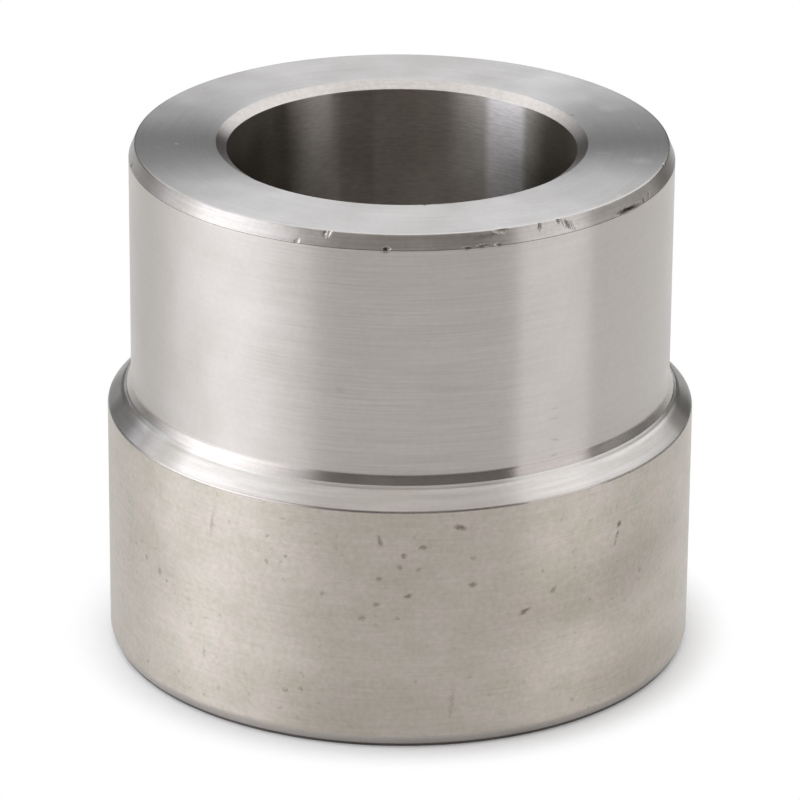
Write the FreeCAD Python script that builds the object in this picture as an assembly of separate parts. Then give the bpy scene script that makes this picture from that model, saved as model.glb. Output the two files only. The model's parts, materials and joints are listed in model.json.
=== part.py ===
import FreeCAD, Part
import math
import os
from FreeCAD import Vector

# Socket weld reducer, insert pattern, turned from one forged bar.
# It stands on its socket end: the origin is the centre of that face and +Z is
# the pipe's axis. Lengths are in millimetres.

# Pipes that the fitting joins
plug_dia = 42.2              # outside of 1 1/4 in pipe, as the plug stands in for it
pipe_dia = 33.4              # outside of the 1 in pipe that enters the socket
pipe_wall = 3.15             # the bore carries on the inside of that pipe

# Socket in the underside
socket_clearance = 0.7       # on the diameter, over the pipe
socket_depth = 13.0
socket_chamfer = 0.8         # lead-in for the pipe, 45 degrees
socket_corner = 0.4          # round left by the tool at the socket's floor
floor_break = 0.25           # broken edge where the bore opens in that floor

# Body below the shoulder
shoulder_step = 1.85         # how far the body stands out past the plug
body_height = 19.55          # up to the lower edge of the bevel
foot_width = 0.45            # broken edge at the foot, steeper than 45 degrees
foot_height = 0.9
shoulder_round = 0.3         # worn edge between the body and the bevel

# Shoulder: a bevel, then a steep flare that runs up into the plug
bevel_height = 1.53          # about 45 degrees with the width that is left beside the flare
flare_width = 0.34
flare_height = 0.70

# Plug above the shoulder
plug_length = 19.83          # from the top of the bevel to its end face
nose_width = 0.47            # steep chamfer round the end of the plug
nose_height = 1.12
mouth_width = 0.82           # flat chamfer at the mouth of the bore
mouth_height = 0.52

plug_radius = plug_dia / 2
body_radius = plug_radius + shoulder_step
bore_radius = pipe_dia / 2 - pipe_wall
socket_radius = (pipe_dia + socket_clearance) / 2
bevel_top = body_height + bevel_height
flare_top = bevel_top + flare_height
end_height = bevel_top + plug_length


def at(radius, height):
    """A point of the half section, on the +X side of the axis."""
    return Vector(radius, 0, height)


def straight(*points):
    """Straight edges that join the points in turn."""
    return [Part.LineSegment(a, b).toShape() for a, b in zip(points, points[1:])]


def turn(edges):
    """The solid that a closed half section sweeps round the axis."""
    face = Part.Face(Part.Wire(edges))
    return face.revolve(Vector(0, 0, 0), Vector(0, 0, 1), 360)


def round_edge(solid, radius, height, size):
    """Round the circular edge of the given radius and height."""
    def matches(edge):
        curve = edge.Curve
        return (
            isinstance(curve, Part.Circle)
            and math.isclose(curve.Radius, radius, abs_tol=1e-4)
            and math.isclose(curve.Center.z, height, abs_tol=1e-4)
        )

    return solid.makeFillet(size, [edge for edge in solid.Edges if matches(edge)])


def turned_blank():
    """Body, shoulder and plug with the bore through them."""
    foot = [
        at(bore_radius, 0),
        at(body_radius - foot_width, 0),
        at(body_radius, foot_height),
    ]
    shoulder = [
        at(body_radius, body_height),
        at(plug_radius + flare_width, bevel_top),
        at(plug_radius, flare_top),
    ]
    plug = [
        at(plug_radius, end_height - nose_height),
        at(plug_radius - nose_width, end_height),
        at(bore_radius + mouth_width, end_height),
        at(bore_radius, end_height - mouth_height),
        at(bore_radius, 0),
    ]
    return turn(straight(*foot, *shoulder, *plug))


def socket_space():
    """What the boring tool takes out of the underside."""
    space = turn(straight(
        at(0, 0),
        at(socket_radius + socket_chamfer, 0),
        at(socket_radius, socket_chamfer),
        at(socket_radius, socket_depth),
        at(bore_radius + floor_break, socket_depth),
        at(bore_radius, socket_depth + floor_break),
        at(0, socket_depth + floor_break),
        at(0, 0),
    ))
    return round_edge(space, socket_radius, socket_depth, socket_corner)


def reducer_body():
    blank = round_edge(turned_blank(), body_radius, body_height, shoulder_round)
    return blank.cut(socket_space())


os.makedirs("parts", exist_ok=True)
reducer = reducer_body()
reducer.exportStep("parts/reducer_body.step")

box = reducer.optimalBoundingBox(False)
print("solids", len(reducer.Solids), "valid", reducer.isValid(), "volume", round(reducer.Volume, 1))
print("size", round(box.XLength, 3), round(box.YLength, 3), round(box.ZLength, 3))
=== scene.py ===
import json
import math

import bpy
import numpy as np
from mathutils import Matrix, Vector

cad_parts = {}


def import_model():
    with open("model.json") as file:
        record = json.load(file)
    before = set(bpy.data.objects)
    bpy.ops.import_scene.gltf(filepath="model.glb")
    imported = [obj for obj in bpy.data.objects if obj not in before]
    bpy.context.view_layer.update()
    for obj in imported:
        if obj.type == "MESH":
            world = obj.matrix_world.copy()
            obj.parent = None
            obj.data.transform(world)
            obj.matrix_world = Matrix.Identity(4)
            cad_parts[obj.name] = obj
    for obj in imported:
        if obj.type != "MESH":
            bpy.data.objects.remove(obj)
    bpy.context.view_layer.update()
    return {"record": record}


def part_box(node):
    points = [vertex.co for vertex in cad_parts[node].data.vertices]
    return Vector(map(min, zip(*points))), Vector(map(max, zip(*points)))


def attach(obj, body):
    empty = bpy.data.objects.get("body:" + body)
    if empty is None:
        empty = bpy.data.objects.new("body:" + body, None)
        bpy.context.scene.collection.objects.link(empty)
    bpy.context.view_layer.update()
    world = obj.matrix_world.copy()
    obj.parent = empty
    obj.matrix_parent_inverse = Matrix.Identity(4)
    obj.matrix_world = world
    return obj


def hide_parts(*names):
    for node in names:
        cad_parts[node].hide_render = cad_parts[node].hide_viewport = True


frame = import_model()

# Looks of a socket weld reducer: one turned steel fitting on a pale floor.
# Lengths are in metres, except where a comment gives another unit.
# Azimuths are in degrees about +Z, from the front (-Y) towards +X.

MM = 1e-3
MICRON = 1e-6

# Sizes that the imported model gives
mounts = {mount["name"]: mount for mount in frame["record"]["mounts"]}
_, far_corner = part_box("reducer_body")
BODY_R = far_corner.x
TOP = far_corner.z
PLUG_R = mounts["plug"]["dims"]["r_mm"] * MM
BORE_R = mounts["flow_bore"]["dims"]["r_mm"] * MM
SOCKET_R = mounts["socket"]["dims"]["r_mm"] * MM

# Sizes that the model has between those
BODY_TOP = 19.55 * MM
BEVEL_TOP = 21.08 * MM
FLARE_WIDTH = 0.34 * MM
FLARE_TOP = 21.78 * MM
NOSE_WIDTH = 0.47 * MM
NOSE_HEIGHT = 1.12 * MM
MOUTH_WIDTH = 0.82 * MM
MOUTH_HEIGHT = 0.52 * MM
FOOT_WIDTH = 0.45 * MM
FOOT_HEIGHT = 0.9 * MM
SOCKET_DEPTH = 13.0 * MM
SOCKET_CHAMFER = 0.8 * MM
FLOOR_BREAK = 0.25 * MM
TOOL_LINE = 0.035 * MM       # depth of the line that the tool left near the top of the bevel

# Sizes of the faces
RIM = 0.6 * MM               # width beside the nose chamfer that has finer faces
SUPPORT = 0.05 * MM          # how close a flat run's first row lies to a rounded edge
ROUND_SHARE = 0.45           # the most that a rounded edge takes of the run beside it
LARGE_ROUND = 0.2 * MM       # a rounded edge above this radius has more rows
FRONT_HALF = 84              # degrees to each side of the front that have finer faces
FRONT_STEP, BACK_STEP = 0.28, 1.2


# Section

def on_bevel(share, sunk=0.0):
    """A point of the bevel, from its lower edge at 0 to its upper edge at 1."""
    width, height = BODY_R - PLUG_R - FLARE_WIDTH, BEVEL_TOP - BODY_TOP
    slope = math.hypot(width, height)
    r = BODY_R - width * share - sunk * height / slope
    z = BODY_TOP + height * share - sunk * width / slope
    return r, z


def corners():
    """Corners of the half section: radius, height, edge round, then the run that starts there."""
    return [
        (SOCKET_R + SOCKET_CHAMFER, 0, 0.06 * MM, "foot_face"),
        # From here a thin strip of painted shadow runs round the foot
        (BODY_R - FOOT_WIDTH, 0, 0, "foot_line"),
        (BODY_R - 0.7 * FOOT_WIDTH, 0.3 * FOOT_HEIGHT, 0, "foot_edge"),
        (BODY_R, FOOT_HEIGHT, 1.2 * MM, "body"),
        (*on_bevel(0), 0.3 * MM, "bevel"),
        (*on_bevel(0.81), 0, "bevel"),
        (*on_bevel(0.845, TOOL_LINE), 0, "bevel"),
        (*on_bevel(0.88), 0, "bevel"),
        (*on_bevel(1), 0.25 * MM, "flare"),
        (PLUG_R, FLARE_TOP, 0.8 * MM, "plug"),
        (PLUG_R, TOP - NOSE_HEIGHT - RIM, 0, "plug_rim"),
        (PLUG_R, TOP - NOSE_HEIGHT, 0.12 * MM, "nose"),
        (PLUG_R - NOSE_WIDTH, TOP, 0.13 * MM, "end_rim"),
        (PLUG_R - NOSE_WIDTH - RIM, TOP, 0, "end_face"),
        (BORE_R + MOUTH_WIDTH, TOP, 0.05 * MM, "mouth"),
        (BORE_R, TOP - MOUTH_HEIGHT, 0.06 * MM, "bore"),
        (BORE_R, SOCKET_DEPTH + FLOOR_BREAK, 0, "floor_break"),
        (BORE_R + FLOOR_BREAK, SOCKET_DEPTH, 0, "socket_floor"),
        (SOCKET_R, SOCKET_DEPTH, 0.4 * MM, "socket"),
        (SOCKET_R, SOCKET_CHAMFER, 0.06 * MM, "socket_chamfer"),
    ]


# Longest row of faces along each run, and the finish that the run has
RUNS = {
    "foot_face": (1.2 * MM, "faced"),
    "foot_line": (0.3 * MM, "foot_line"),
    "foot_edge": (0.3 * MM, "foot"),
    "body": (3.2 * MM, "body"),
    "shoulder_edge": (1 * MM, "edge"),
    "nose_edge": (1 * MM, "nose_edge"),
    "bevel": (0.5 * MM, "bevel"),
    "flare": (0.15 * MM, "edge"),
    "plug": (3.2 * MM, "plug"),
    "plug_rim": (0.1 * MM, "plug"),
    "nose": (0.1 * MM, "nose"),
    "end_rim": (0.1 * MM, "end_face"),
    "end_face": (1.2 * MM, "end_face"),
    "mouth": (0.25 * MM, "mouth"),
    "bore": (5 * MM, "bore"),
    "floor_break": (1 * MM, "bore"),
    "socket_floor": (1.5 * MM, "socket"),
    "socket": (4 * MM, "socket"),
    "socket_chamfer": (1 * MM, "faced"),
}

# Rounded edges that are a run of their own, by the run that starts there
EDGE_RUNS = {"bevel": "shoulder_edge", "nose": "nose_edge"}


def rounded_corner(before, corner, after, radius):
    """Points that round a corner of the section: the two tangent points and the arc between."""
    p, q, s = (np.array(x) for x in (before, corner, after))
    to_before, to_after = p - q, s - q
    room = min(np.linalg.norm(to_before), np.linalg.norm(to_after)) * ROUND_SHARE
    u = to_before / np.linalg.norm(to_before)
    v = to_after / np.linalg.norm(to_after)
    half_angle = math.acos(float(np.clip(u @ v, -1, 1))) / 2
    tangent = min(radius / math.tan(half_angle), room)
    size = tangent * math.tan(half_angle)
    bisector = (u + v) / np.linalg.norm(u + v)
    centre = q + bisector * size / math.sin(half_angle)
    count = 5 if radius > LARGE_ROUND else 3
    start, end = q + u * tangent - centre, q + v * tangent - centre
    turn = math.pi - 2 * half_angle
    points = []
    for k in range(count + 1):
        share = k / count
        weight = math.sin((1 - share) * turn), math.sin(share * turn)
        points.append(tuple(centre + (start * weight[0] + end * weight[1]) / math.sin(turn)))
    return points


def row_shares(length, longest, both_rounded):
    """Shares of a flat run's length at which its rows start, with support rows between two rounds."""
    margin = SUPPORT / length if both_rounded and length > 4 * SUPPORT else 0.0
    pieces = max(1, math.ceil(length * (1 - margin - margin) / longest))
    inner = np.linspace(margin, 1 - margin, pieces + 1)
    return sorted({0.0, *inner, 1.0})[:-1]


def section():
    """Rows of the half section as (radius, height), and the run that each row of faces belongs to."""
    shape = corners()
    rounds = []
    for before, corner, after in zip(shape[-1:] + shape, shape, shape[1:] + shape[:1]):
        r, z, radius, _ = corner
        rounds.append(rounded_corner(before[:2], (r, z), after[:2], radius) if radius else [(r, z)])
    rows, runs = [], []
    for i, (_, _, _, name) in enumerate(shape):
        following = (i + 1) % len(shape)
        here, there, next_name = rounds[i], rounds[following], shape[following][3]
        start, end = np.array(here[-1]), np.array(there[0])
        both_rounded = len(here) > 1 and len(there) > 1
        for share in row_shares(np.linalg.norm(end - start), RUNS[name][0], both_rounded):
            rows.append(tuple(start + (end - start) * share))
            runs.append(name)
        for k, point in enumerate(there[:-1]):
            past_middle = k >= len(there) // 2
            rows.append(point)
            runs.append(EDGE_RUNS.get(next_name, next_name if past_middle else name))
    return np.array(rows), runs


# Marks, with painted light and shade

# What handling and the lathe left, and painted light and shade: azimuth in degrees, height, length and
# width in mm, slant in degrees, tone of the steel in it and depth in microns
PLUG_MARKS = [
    (33.5, 25.9, 0.5, 0.14, 0, 0.80, 3),
    (33.5, 25.1, 1.0, 0.14, -6, 0.84, 3),
    (33.8, 23.3, 0.9, 0.18, -12, 0.80, 4),
    (33.6, 22.1, 0.7, 0.20, 0, 0.76, 4),
    (-12.3, 28.5, 0.9, 0.6, 0, 0.93, 1),
    (21.0, 25.6, 0.7, 0.2, -50, 0.90, 2),
]
BODY_MARKS_AND_PAINTED_SHADE = [
    # Pits
    (11.5, 18.2, 0.94, 0.5, -15, 0.47, 4),
    (4.5, 16.7, 0.62, 0.4, 10, 0.57, 4),
    (0.9, 16, 0.45, 0.45, 0, 0.57, 4),
    (0.2, 15.1, 0.45, 0.5, 0, 0.66, 3),
    (3.8, 14.9, 0.5, 0.38, 20, 0.75, 2),
    (14.1, 15.6, 0.5, 0.38, 0, 0.75, 2),
    (14.1, 13.4, 0.62, 0.43, 0, 0.57, 4),
    (1.8, 12.7, 0.62, 0.4, 35, 0.53, 4),
    (24.7, 10.6, 1, 0.38, 30, 0.44, 4),
    (30.7, 11.9, 0.75, 0.38, 55, 0.66, 3),
    (-3.6, 17.2, 0.3, 1, 12, 0.57, 3),
    (-3.7, 14.1, 0.5, 0.5, 0, 0.69, 3),
    (-4.2, 12, 0.62, 0.38, 30, 0.66, 3),
    (-6.9, 10.8, 0.62, 0.5, 0, 0.69, 3),
    (-14.5, 12.6, 0.43, 0.43, 0, 0.75, 2),
    (-53.2, 10.5, 0.56, 0.69, 0, 0.69, 3),
    # Scratches
    (47, 15.6, 0.38, 0.62, -20, 0.38, 5),
    (46.5, 14.8, 0.25, 0.75, -20, 0.5, 4),
    (46, 14.2, 0.25, 0.5, -20, 0.63, 3),
    (-38.2, 16.5, 0.33, 2.38, -8, 0.78, 2),
    (-40.4, 5.4, 0.3, 1, 0, 0.75, 2),
    (10.3, 3.7, 0.33, 3.25, -6, 0.84, 1),
    # Soft darker patches; the long one at 45 degrees is painted shade that dims the strip's reflection
    (45, 11.3, 19, 6, 9, 0.83, 0),
    (-22, 3.5, 24, 6, 0, 0.91, 0),
    (31, 10.5, 9, 12, 0, 0.93, 0),
    (-56, 10, 8, 12, 0, 0.94, 0),
    (50, 3.0, 20, 4, 0, 0.88, 0),
    (-27, 10.5, 9, 8, 0, 0.94, 0),
    (1.5, 14.0, 5, 5, 0, 0.95, 0),
]
# Painted light and shade on the bevel: a painted highlight at -65 degrees, painted shade at the others
BEVEL_PAINTED_LIGHT_AND_SHADE = [
    (-93, 20.3, 5.0, 4, 0, 0.65, 0),
    (-80, 20.3, 2.5, 4, 0, 0.80, 0),
    (-65, 20.3, 2.4, 4, 0, 1.38, 0),
    (-52, 20.3, 3.6, 4, 0, 0.75, 0),
    (74, 20.3, 2.6, 4, 0, 0.72, 0),
    (83, 20.3, 5.0, 4, 0, 0.45, 0),
]
# These are cut into the mesh as well
NOSE_MARKS_AND_PAINTED_LIGHT = [
    (-18.0, 40.4, 2.2, 1.1, 0, 1.08, 4),
    # A nick whose dark side is painted shade and whose light side is a painted highlight
    (-15.8, 40.72, 0.30, 0.55, 0, 0.45, 50),
    (-14.8, 40.75, 0.22, 0.55, -10, 1.50, 30),
    (-21.5, 39.9, 0.5, 0.30, 20, 1.35, 25),
    (-3.1, 39.85, 0.70, 0.50, 0, 0.10, 80),
    (13.4, 39.82, 0.70, 0.28, 0, 0.35, 40),
    (16.6, 39.88, 1.40, 0.26, 3, 0.40, 40),
    (20.0, 39.86, 0.60, 0.30, 0, 0.35, 50),
    (20.9, 40.84, 1.10, 0.44, 0, 0.38, 70),
    (18.2, 40.55, 2.40, 0.36, 6, 0.72, 8),
    (29.6, 40.66, 0.22, 0.60, -10, 0.60, 50),
    (34.2, 40.85, 0.24, 0.50, 25, 0.55, 70),
    (35.4, 40.55, 0.18, 1.00, 28, 1.45, 40),
    (36.4, 40.40, 0.20, 0.90, 28, 0.55, 60),
    (37.6, 40.20, 0.18, 1.00, 25, 1.40, 40),
    (54.4, 39.92, 3.30, 0.42, -2, 0.04, 120),
    (60.5, 40.0, 0.30, 0.50, -30, 0.50, 50),
    (63.0, 40.1, 0.24, 0.60, -30, 0.60, 40),
    (66.9, 39.8, 0.40, 0.26, 0, 0.60, 30),
    # A cut on the nose's upper corner with a painted highlight in it
    (76.0, 40.88, 0.80, 0.30, 0, 1.60, 50),
    (-80.4, 40.1, 0.50, 0.70, 0, 0.50, 50),
    # Soft painted shade
    (77.0, 40.3, 8.0, 4.0, 0, 0.34, 0),
    (-19.5, 40.3, 2.4, 4.0, 0, 0.86, 0),
    (-51.0, 40.3, 4.0, 4.0, 0, 0.82, 0),
]
# On the end face the radius takes the place of the height
FACE_MARKS_AND_PAINTED_LIGHT = [
    (-84, 18.9, 0.5, 0.8, 0, 1.14, 1),
    (-86, 17.4, 0.5, 0.4, 0, 1.5, 2),
    (-58, 15.3, 0.6, 0.3, 0, 0.92, 1),
    (-48, 15.3, 0.6, 0.3, 0, 0.92, 1),
    (7, 14.4, 0.4, 0.3, 0, 0.25, 5),
    (54, 20.2, 0.7, 0.3, 0, 1.12, 1),
    (80.5, 15.7, 0.45, 1.4, 0, 1.18, 1),
    (100, 18.7, 0.45, 0.6, 0, 1.22, 1),
    (115, 14.6, 1.0, 0.5, 0, 0.80, 1),
    # The last two are broad painted highlights
    (116, 18.2, 2.6, 2.5, 0, 1.18, 0),
    (77, 18.8, 1.8, 2.2, 0, 1.18, 0),
]
# A streak of painted reflection and bands of painted shade that run along the bore
BORE_PAINTED_LIGHT_AND_SHADE = [
    (142.5, 34, 6.4, 60, 0, 1.65, 0),
    (-112, 34, 26, 60, 0, 0.40, 0),
    (-164.5, 34, 5.0, 60, 0, 0.85, 0),
    (100, 34, 24, 60, 0, 0.45, 0),
]

CUT_RIM = 1.3                # where a cut's slope ends, as a share of the mark's half size
CUT_INWARDS, CUT_DOWN = 0.9, 0.4
CUT_ZONE = 0.9 * RIM         # how far past the nose chamfer a mark may reach


def cut_marks(points):
    """Push the mesh in where a mark crosses the nose chamfer or its edges."""
    azimuth = np.degrees(np.arctan2(points[:, :, 0], -points[:, :, 1]))
    reach = np.hypot(points[:, :, 0], points[:, :, 1])
    sunk = np.zeros_like(azimuth)
    for turn, height, length, width, slant, _, depth in NOSE_MARKS_AND_PAINTED_LIGHT:
        along = np.radians(azimuth - turn) * PLUG_R / MM
        up = points[:, :, 2] / MM - height + (PLUG_R - NOSE_WIDTH - reach).clip(0) / MM
        c, s = math.cos(math.radians(slant)), math.sin(math.radians(slant))
        across = np.hypot((along * c + up * s) / (length / 2), (up * c - along * s) / (width / 2))
        sunk += depth * MICRON * np.clip(CUT_RIM - across, 0, 1) ** 2
    sunk[reach < PLUG_R - NOSE_WIDTH - CUT_ZONE] = 0
    sunk[points[:, :, 2] < TOP - NOSE_HEIGHT - CUT_ZONE] = 0
    points[:, :, :2] *= (1 - CUT_INWARDS * sunk / reach)[:, :, None]
    points[:, :, 2] -= CUT_DOWN * sunk


# Nodes

class Shader:
    """A material's node tree, with short ways to add nodes and links."""

    def __init__(self, name):
        self.material = bpy.data.materials.new(name)
        self.material.use_nodes = True
        self.tree = self.material.node_tree
        self.tree.nodes.clear()

    def add(self, kind, inputs=(), **settings):
        node = self.tree.nodes.new("ShaderNode" + kind)
        for key, value in settings.items():
            setattr(node, key, value)
        for key, value in dict(inputs).items():
            self.put(value, node.inputs[key])
        return node

    def put(self, value, socket):
        if isinstance(value, bpy.types.NodeSocket):
            self.tree.links.new(value, socket)
        else:
            socket.default_value = value

    def math(self, operation, a, b=0.0):
        return self.add("Math", {0: a, 1: b}, operation=operation).outputs[0]

    def times(self, a, b):
        return self.math("MULTIPLY", a, b)

    def plus(self, a, b):
        return self.math("ADD", a, b)

    def minus(self, a, b):
        return self.math("SUBTRACT", a, b)

    def vector(self, operation, a, b=(0, 0, 0)):
        node = self.add("VectorMath", {0: a, 1: b}, operation=operation)
        return node.outputs["Value" if operation == "LENGTH" else "Vector"]

    def stretch(self, vector, scale):
        return self.vector("MULTIPLY", vector, scale)

    def point(self, x, y, z=0.0):
        return self.add("CombineXYZ", {"X": x, "Y": y, "Z": z}).outputs[0]

    def remap(self, value, from_low, from_high, to_low=0.0, to_high=1.0, smooth=False):
        limits = {"From Min": from_low, "From Max": from_high, "To Min": to_low, "To Max": to_high}
        kind = "SMOOTHSTEP" if smooth else "LINEAR"
        return self.add("MapRange", {"Value": value, **limits}, interpolation_type=kind).outputs["Result"]

    def noise(self, vector, scale, detail=2.0, roughness=0.5):
        settings = {"Vector": vector, "Scale": scale, "Detail": detail, "Roughness": roughness}
        return self.add("TexNoise", settings).outputs

    def mix(self, share, a, b, blend="MIX"):
        return self.add("Mix", {0: share, 6: a, 7: b}, data_type="RGBA", blend_type=blend).outputs[2]

    def finish(self, surface):
        """Connect the surface, then give the material back."""
        self.add("OutputMaterial", {"Surface": surface})
        return self.material


def place(shader, flat=False):
    """Position in the part's own frame, its X and Y, and its height, or its radius if flat."""
    position = shader.add("TexCoord").outputs["Object"]
    x, y, up = shader.add("SeparateXYZ", {"Vector": position}).outputs
    if flat:
        up = shader.vector("LENGTH", shader.point(x, y))
    return position, x, y, up


def groove_space(shader, flat, along, across):
    """Coordinates stretched along the lathe marks: across them it is the height, or the radius if flat."""
    _, x, y, up = place(shader, flat)
    x, y = shader.times(x, along), shader.times(y, along)
    return shader.point(x, y, shader.times(up, across))


def wall_space(shader, flat):
    """Place on a wall in mm, unrolled: along the circumference, then the height, or the radius if flat."""
    _, x, y, up = place(shader, flat)
    turn = shader.math("ARCTAN2", x, shader.times(y, -1.0))
    return shader.point(shader.times(turn, PLUG_R / MM), shader.math("DIVIDE", up, MM))


def ragged(shader, wall, scale, detail, reach):
    """The wall's coordinates shifted by noise, so that what is drawn with them has an uneven edge."""
    shift = shader.vector("SUBTRACT", shader.noise(wall, scale, detail)["Color"], (0.5, 0.5, 0.5))
    return shader.vector("ADD", wall, shader.stretch(shift, reach))


# Steel

PLUG_STEEL = (0.520, 0.488, 0.458)
BODY_STEEL = (0.523, 0.470, 0.424)
STAINED_STEEL = (0.480, 0.446, 0.384)
FACE_STEEL = (0.545, 0.530, 0.520)
# Painted shade: darker steel for the root fillet under the plug and the bevel's lower edge
SHADED_EDGE_STEEL = (0.400, 0.368, 0.340)
NOSE_STEEL = (0.420, 0.392, 0.368)
# Painted shade: a dark line along the nose's lower edge
NOSE_EDGE_SHADE_STEEL = (0.190, 0.168, 0.152)
BEVEL_STEEL = (0.525, 0.500, 0.475)
MOUTH_STEEL = (0.485, 0.455, 0.430)
BORE_STEEL = (0.415, 0.384, 0.350)
FOOT_STEEL = (0.455, 0.425, 0.395)
# Painted shadow: a dark line round the foot where it meets the floor
FOOT_SHADOW_STEEL = (0.170, 0.155, 0.140)

# Noise: its scale, per metre of space or per mm of wall, and the range of its values that is used
FINE_STRETCH, WIDE_STRETCH = 160, 60     # along the lathe marks
LINE_RANGE = 0.36, 0.84
CLOUD_SCALE, CLOUD_RANGE = 220, (0.3, 0.7)
DUST_SCALE, DUST_RANGE = 2400, (0.35, 0.65)
RIPPLE_SCALE, RIPPLE_RANGE = (0.7, 6.0, 0), (0.35, 0.65)
STAIN_SCALE, STAIN_RANGE = (0.28, 0.34, 0), (0.4, 0.62)
GROUP_SCALE, GROUP_RANGE = (0.12, 0.16, 0), (0.4, 0.65)

SPECK_SCALE = 0.75                       # per mm of wall
SPECK_CORE, SPECK_RIM = 0.03, 0.15       # in cells
SPECK_CHANCE = 0.35                      # share of the cells that have no speck
SPECK_TONE, SPECK_DEPTH = 0.64, 2.0      # depth in microns
WORN_FROM, WORN_TO = 6, 16               # mm from the front, where the plug's lines fade
WORN_LINES = 0.3                         # share of the lines that is left beyond that
DIRT_AND_SHADE_GREEN, DIRT_AND_SHADE_BLUE = 1.05, 1.18       # dark tones, of dirt and of painted shade alike, are a little brown, so these are more than 1


def marked(shader, wall, tone, height, marks, sharp=False):
    """Tone and height with the marks worked in, painted light and shade among them. The height is in
    microns.
    """
    core, rim = (0.7, 1.12) if sharp else (0.2, 1.35)
    uneven = ragged(shader, wall, 4.0, 3.0, (0.5, 0.4, 0))
    for turn, up, length, width, slant, shade, depth in marks:
        spot = shader.add("Mapping", {
            "Vector": uneven,
            "Location": (math.radians(turn) * PLUG_R / MM, up, 0),
            "Rotation": (0, 0, math.radians(slant)),
            "Scale": (length / 2, width / 2, 1),
        }, vector_type="TEXTURE").outputs[0]
        inside = shader.remap(shader.vector("LENGTH", spot), core, rim, 1, 0, True)
        tone = shader.times(tone, shader.remap(inside, 0, 1, 1, shade))
        height = shader.minus(height, shader.times(inside, depth))
    return tone, height


def speckled(shader, wall, tone, height):
    """Small dull pits scattered over the wall in loose groups."""
    uneven = ragged(shader, wall, 3.0, 2.0, (0.7, 0.7, 0))
    cells = shader.add("TexVoronoi", {"Vector": uneven, "Scale": SPECK_SCALE}, voronoi_dimensions="2D")
    chance = shader.add("SeparateColor", {"Color": cells.outputs["Color"]}).outputs[0]
    groups = shader.noise(shader.stretch(wall, GROUP_SCALE), 1.0, 1.0)["Fac"]
    inside = shader.remap(cells.outputs["Distance"], SPECK_CORE, SPECK_RIM, 1, 0, True)
    inside = shader.times(inside, shader.remap(chance, SPECK_CHANCE, 1.0))
    inside = shader.times(inside, shader.remap(groups, *GROUP_RANGE))
    tone = shader.times(tone, shader.remap(inside, 0, 1, 1, SPECK_TONE))
    return tone, shader.minus(height, shader.times(inside, SPECK_DEPTH))


def tinted(shader, wall, tone, colour, stain):
    """Colour of the steel with its stains and its tone, painted light and shade included."""
    base = (*colour, 1)
    if stain:
        patch = shader.noise(shader.stretch(wall, STAIN_SCALE), 1.0, 5.0, 0.65)["Fac"]
        base = shader.mix(shader.remap(patch, *STAIN_RANGE, 0, 1, True), base, (*stain, 1))
    dirt_and_painted_light = shader.add("CombineColor", {
        "Red": tone,
        "Green": shader.math("POWER", tone, DIRT_AND_SHADE_GREEN),
        "Blue": shader.math("POWER", tone, DIRT_AND_SHADE_BLUE),
    }).outputs[0]
    return shader.mix(1.0, base, dirt_and_painted_light, "MULTIPLY")


def finish_steel(shader, colour, height, roughness, anisotropy):
    """The metal itself: colour and height in microns go in, one anisotropic surface comes out."""
    bump = shader.add("Bump", {"Height": height, "Distance": MICRON, "Strength": 1.0})
    tangent = shader.add("Tangent", direction_type="RADIAL", axis="Z")
    surface = shader.add("BsdfPrincipled", {
        "Base Color": colour,
        "Metallic": 1.0,
        "Roughness": roughness,
        "Anisotropic": anisotropy,
        "Anisotropic Rotation": 0.25,
        "Normal": bump.outputs["Normal"],
        "Tangent": tangent.outputs["Tangent"],
    })
    return shader.finish(surface.outputs[0])


def turned(name, colour, roughness, anisotropy, flat=False, pitch=0.16, groove=1.2, lines=0.06,
           blotch=0.04, grain=0.02, stain=None, marks=(), sharp=False, specks=False, chatter=0.0,
           worn=False):
    """Turned steel: lathe marks of a pitch in mm and a depth in microns, blotches, stains, marks and
    painted light and shade.
    """
    shader = Shader(name)
    position, *_ = place(shader)
    wall = wall_space(shader, flat)
    across = 1 / (pitch * MM)
    fine = shader.noise(groove_space(shader, flat, FINE_STRETCH, across), 1.0, 3.0, 0.65)["Fac"]
    wide = shader.noise(groove_space(shader, flat, WIDE_STRETCH, 0.22 * across), 1.0, 1.0)["Fac"]
    cloud = shader.noise(position, CLOUD_SCALE, 3.0)["Fac"]
    tone = shader.remap(cloud, *CLOUD_RANGE, 1 - blotch, 1 + blotch)
    if worn:
        along = shader.math("ABSOLUTE", shader.add("SeparateXYZ", {"Vector": wall}).outputs[0])
        lines = shader.remap(along, WORN_FROM, WORN_TO, lines, WORN_LINES * lines, True)
    swing = shader.plus(fine, shader.times(wide, 0.2))
    swing = shader.remap(swing, *LINE_RANGE, -1, 1)
    tone = shader.times(tone, shader.plus(1.0, shader.times(swing, lines)))
    dust = shader.noise(position, DUST_SCALE, 3.0, 0.6)["Fac"]
    tone = shader.times(tone, shader.remap(dust, *DUST_RANGE, 1 - grain, 1 + grain))
    height = shader.plus(fine, shader.times(wide, 0.8))
    height = shader.times(height, groove)
    if chatter:
        ripple = shader.noise(shader.stretch(wall, RIPPLE_SCALE), 1.0, 1.0)["Fac"]
        ripple = shader.remap(ripple, *RIPPLE_RANGE, 1 - chatter, 1 + chatter)
        tone = shader.times(tone, ripple)
    if specks:
        tone, height = speckled(shader, wall, tone, height)
    if marks:
        tone, height = marked(shader, wall, tone, height, marks, sharp)
    base = tinted(shader, wall, tone, colour, stain)
    rough = shader.remap(cloud, *CLOUD_RANGE, roughness - 0.02, roughness + 0.03)
    return finish_steel(shader, base, height, rough, anisotropy)


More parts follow.
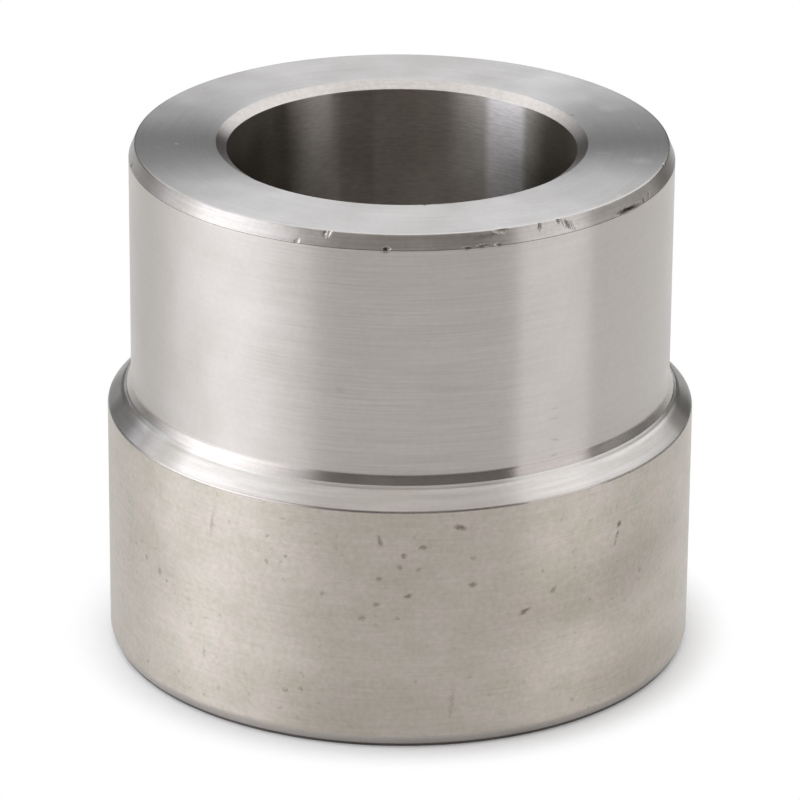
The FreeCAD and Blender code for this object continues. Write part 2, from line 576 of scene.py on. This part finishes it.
# Name, colour, roughness and anisotropy of each finish, then what else it has
FINISHES = {
    "plug": (("plug_wall", PLUG_STEEL, 0.30, 1.0),
             {"pitch": 0.14, "groove": 1.6, "lines": 0.09, "worn": True, "marks": PLUG_MARKS}),
    "body": (("body_wall", BODY_STEEL, 0.40, 0.82),
             {"groove": 0.8, "lines": 0.05, "grain": 0.05, "stain": STAINED_STEEL,
              "marks": BODY_MARKS_AND_PAINTED_SHADE, "specks": True}),
    # Painted shade in the root fillet and on the bevel's lower edge
    "edge": (("edge_painted_shade", SHADED_EDGE_STEEL, 0.22, 1.0), {}),
    # Painted shade: a dark line along the nose's lower edge
    "nose_edge": (("nose_edge", NOSE_EDGE_SHADE_STEEL, 0.26, 1.0), {}),
    "bevel": (("shoulder_bevel", BEVEL_STEEL, 0.30, 1.0),
              {"pitch": 0.2, "groove": 2.5, "lines": 0.10, "marks": BEVEL_PAINTED_LIGHT_AND_SHADE}),
    "nose": (("nose_chamfer", NOSE_STEEL, 0.30, 1.0),
             {"lines": 0.12, "blotch": 0.08, "grain": 0.04, "marks": NOSE_MARKS_AND_PAINTED_LIGHT}),
    "end_face": (("end_face", FACE_STEEL, 0.32, 0.96), {"flat": True, "marks": FACE_MARKS_AND_PAINTED_LIGHT}),
    "mouth": (("mouth_chamfer", MOUTH_STEEL, 0.30, 1.0), {"blotch": 0.06, "grain": 0.06}),
    "bore": (("bore_wall", BORE_STEEL, 0.30, 1.0),
             {"groove": 2.0, "lines": 0.06, "blotch": 0.02, "marks": BORE_PAINTED_LIGHT_AND_SHADE,
              "sharp": True, "chatter": 0.07}),
    "foot": (("foot_edge", FOOT_STEEL, 0.36, 0.85), {}),
    # Painted shadow where the foot meets the floor
    "foot_line": (("foot_line", FOOT_SHADOW_STEEL, 0.40, 0.8), {}),
    "faced": (("foot_face", BODY_STEEL, 0.36, 0.9), {"flat": True}),
    "socket": (("socket_wall", BODY_STEEL, 0.38, 0.85), {"groove": 2.0}),
}


# Body

def show(name, mesh):
    """Put a mesh in the scene as an object of its own."""
    piece = bpy.data.objects.new(name, mesh)
    bpy.context.scene.collection.objects.link(piece)
    return piece


def sector_turns():
    """Azimuths of the mesh's sectors in radians: fine steps round the front, wide ones behind."""
    front = np.arange(-FRONT_HALF, FRONT_HALF, FRONT_STEP)
    back_count = round((360 - 2 * FRONT_HALF) / BACK_STEP)
    back = np.linspace(FRONT_HALF, 360 - FRONT_HALF, back_count, False)
    return np.radians(np.concatenate([front, back]))


def reducer():
    """The whole fitting as one turned mesh."""
    rows, runs = section()
    turns = sector_turns()
    count, sectors = len(rows), len(turns)
    radius, height = rows[:, 0], rows[:, 1]
    points = np.empty((count, sectors, 3))
    points[:, :, 0] = radius[:, None] * np.sin(turns)
    points[:, :, 1] = -radius[:, None] * np.cos(turns)
    points[:, :, 2] = height[:, None]
    cut_marks(points)
    here, there = np.arange(sectors), (np.arange(sectors) + 1) % sectors
    faces, slots = [], []
    names = sorted(FINISHES)
    for i in range(count):
        row, above = i * sectors, (i + 1) % count * sectors
        faces.append(np.stack([row + here, row + there, above + there, above + here], 1))
        slots.extend([names.index(RUNS[runs[i]][1])] * sectors)
    mesh = bpy.data.meshes.new("reducer")
    mesh.from_pydata(points.reshape(-1, 3).tolist(), [], np.concatenate(faces).tolist())
    for name in names:
        needed, extra = FINISHES[name]
        mesh.materials.append(turned(*needed, **extra))
    mesh.polygons.foreach_set("material_index", slots)
    mesh.shade_smooth()
    mesh.update()
    piece = show("reducer", mesh)
    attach(piece, "root")
    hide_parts("reducer_body")


# Studio

TENT = 0.6                   # radius of the tent of light round the part
TENT_STEPS = 1.0, 3.0        # degrees of azimuth and elevation between its points
FLOOR_HALF = 4.0
PAPER = 0.9                  # how much light the paper gives back
SHADOW_REACH = 4 * MM        # how far the foot's shadow reaches over the paper
PAPER_WHITE = 1.0            # share of the paper that stays plain white beyond it

CEILING_LEVEL, FRONT_TINT, BACK_TINT = 1.75, (1.0, 0.98, 0.955), (0.975, 0.985, 1.005)
SOFTBOX_LEVEL, SOFTBOX_TINT = 4.35, (0.965, 1.0, 1.08)
SOFTBOX_AZIMUTH = -76
SOFTBOX_SPREAD = 63, 56      # degrees to the side that faces the front, then to the other
SOFTBOX_TAIL = 0.09          # level of a faint rest of it behind, as a share
STRIP_LEVEL, STRIP_TINT = 1.42, (0.98, 0.995, 1.04)
STRIP_FROM, STRIP_TO = 48, 83
ROOM_LEVEL, ROOM_TINT = 0.05, (1.3, 1.0, 0.75)


def fade(value, start, end):
    """Rises smoothly from 0 at start to 1 at end."""
    share = np.clip((value - start) / (end - start), 0, 1)
    return share * share * (3 - 2 * share)


def band(value, start, end, fade_in, fade_out):
    """1 between start and end, with soft ends of the given widths inside them."""
    return fade(value, start, start + fade_in) * (1 - fade(value, end - fade_out, end))


def studio_light(azimuth, elevation):
    """Colour of the tent in a direction: a soft ceiling, a softbox at the left, a strip at the right."""
    # The ceiling comes down further behind than in front, and most of all behind at the right
    back = fade(np.abs(azimuth), 40, 110)
    right = band(azimuth, 86, 168, 1, 14)
    corner = band(azimuth, 120, 172, 10, 12)
    low = 20 - 6 * back - 12 * right + 8 * corner
    high = 92 - 46 * back - 4 * right - 12 * corner
    ceiling = CEILING_LEVEL * fade(elevation, low, high)
    # The softbox is a bell of light that is cut towards the front
    spread = np.where(azimuth > SOFTBOX_AZIMUTH, *SOFTBOX_SPREAD)
    bell = np.cos(np.clip((azimuth - SOFTBOX_AZIMUTH) / spread, -1, 1) * np.pi / 2) ** 2
    bell = bell * (1 - 0.7 * fade(azimuth, -40, -28)) * (1 - fade(elevation, 5, 52))
    tail = SOFTBOX_TAIL * band(azimuth, -172, -105, 12, 25) * (1 - fade(elevation, 0, 14))
    softbox = SOFTBOX_LEVEL * (bell + tail)
    strip = STRIP_LEVEL * band(azimuth, STRIP_FROM, STRIP_TO, 1, 1) * (1 - fade(elevation, 20, 60))
    room = ROOM_LEVEL * (1 - fade(np.abs(azimuth), 60, 110)) * (1 - fade(elevation, 20, 50))
    sky = np.array(FRONT_TINT) + back[..., None] * (np.array(BACK_TINT) - FRONT_TINT)
    light = ceiling[..., None] * sky
    for level, tint in ((softbox, SOFTBOX_TINT), (strip, STRIP_TINT), (room, ROOM_TINT)):
        light = light + level[..., None] * np.array(tint)
    return light


def tent():
    """Half a sphere of light over the part, which the camera doesn't see."""
    across, up = TENT_STEPS
    azimuths, elevations = np.meshgrid(np.arange(-180, 181, across), np.arange(0, 91, up))
    a, e = np.radians(azimuths), np.radians(elevations)
    points = np.stack([np.cos(e) * np.sin(a), -np.cos(e) * np.cos(a), np.sin(e)], -1) * TENT
    rows, columns = azimuths.shape
    corner = (np.arange(rows - 1)[:, None] * columns + np.arange(columns - 1)).ravel()
    faces = np.stack([corner, corner + columns, corner + columns + 1, corner + 1], 1)
    mesh = bpy.data.meshes.new("tent")
    mesh.from_pydata(points.reshape(-1, 3).tolist(), [], faces.tolist())
    colours = np.ones((rows * columns, 4))
    colours[:, :3] = studio_light(azimuths, elevations).reshape(-1, 3)
    light = mesh.attributes.new("light", "FLOAT_COLOR", "POINT")
    light.data.foreach_set("color", colours.ravel())
    shader = Shader("tent_light")
    colour = shader.add("Attribute", attribute_name="light").outputs["Color"]
    glow = shader.add("Emission", {"Color": colour, "Strength": 1.0})
    mesh.materials.append(shader.finish(glow.outputs[0]))
    cover = show("tent", mesh)
    cover.visible_camera = False


def floor():
    """White paper that keeps a soft shadow round the foot and fades to plain white further out."""
    shader = Shader("floor_paper")
    paper = shader.add("BsdfDiffuse", {"Color": (PAPER, PAPER, PAPER, 1)})
    white = shader.add("Emission", {"Color": (1, 1, 1, 1), "Strength": 1.0})
    position = shader.add("NewGeometry").outputs["Position"]
    reach = shader.vector("LENGTH", shader.stretch(position, (1, 1, 0)))
    away = shader.remap(reach, BODY_R, BODY_R + SHADOW_REACH, 0, PAPER_WHITE, True)
    rays = shader.add("LightPath").outputs
    seen = shader.math("MAXIMUM", rays["Is Camera Ray"], rays["Is Glossy Ray"])
    seen = shader.math("MAXIMUM", seen, rays["Is Transmission Ray"])
    share = shader.times(away, seen)
    mixed = shader.add("MixShader", {0: share, 1: paper.outputs[0], 2: white.outputs[0]})
    material = shader.finish(mixed.outputs[0])
    material.cycles.emission_sampling = "NONE"
    mesh = bpy.data.meshes.new("floor")
    sheet = [(x * FLOOR_HALF, y * FLOOR_HALF, 0) for x, y in ((-1, -1), (1, -1), (1, 1), (-1, 1))]
    mesh.from_pydata(sheet, [], [(0, 1, 2, 3)])
    mesh.materials.append(material)
    ground = show("floor", mesh)


def world():
    """Plain white all round."""
    sky = bpy.data.worlds.new("studio")
    sky.use_nodes = True
    background = sky.node_tree.nodes["Background"]
    background.inputs["Color"].default_value = (1, 1, 1, 1)
    background.inputs["Strength"].default_value = 1.0
    bpy.context.scene.world = sky


# Camera

FOCAL = 249.5                # mm, on a 36 mm sensor
DISTANCE = 0.436
ELEVATION = 22.33            # degrees
ROLL = 0.44                  # degrees
AIM = Vector((0, 0, 19.25 * MM))
CLIP_NEAR, CLIP_FAR = 0.01, 10


def camera():
    """A long lens in front of the part, a little above it."""
    e, roll = math.radians(ELEVATION), math.radians(ROLL)
    forward = Vector((0, math.cos(e), -math.sin(e)))
    side = Vector((1, 0, 0))
    up = side.cross(forward)
    right = side * math.cos(roll) + up * math.sin(roll)
    upright = up * math.cos(roll) - side * math.sin(roll)
    eye = AIM - forward * DISTANCE
    data = bpy.data.cameras.new("camera")
    data.lens = FOCAL
    data.clip_start, data.clip_end = CLIP_NEAR, CLIP_FAR
    view = show("camera", data)
    view.matrix_world = Matrix((
        (right.x, upright.x, -forward.x, eye.x),
        (right.y, upright.y, -forward.y, eye.y),
        (right.z, upright.z, -forward.z, eye.z),
        (0, 0, 0, 1),
    ))
    bpy.context.scene.camera = view


reducer()
floor()
world()
tent()
camera()
bpy.context.scene.view_settings.view_transform = "Standard"
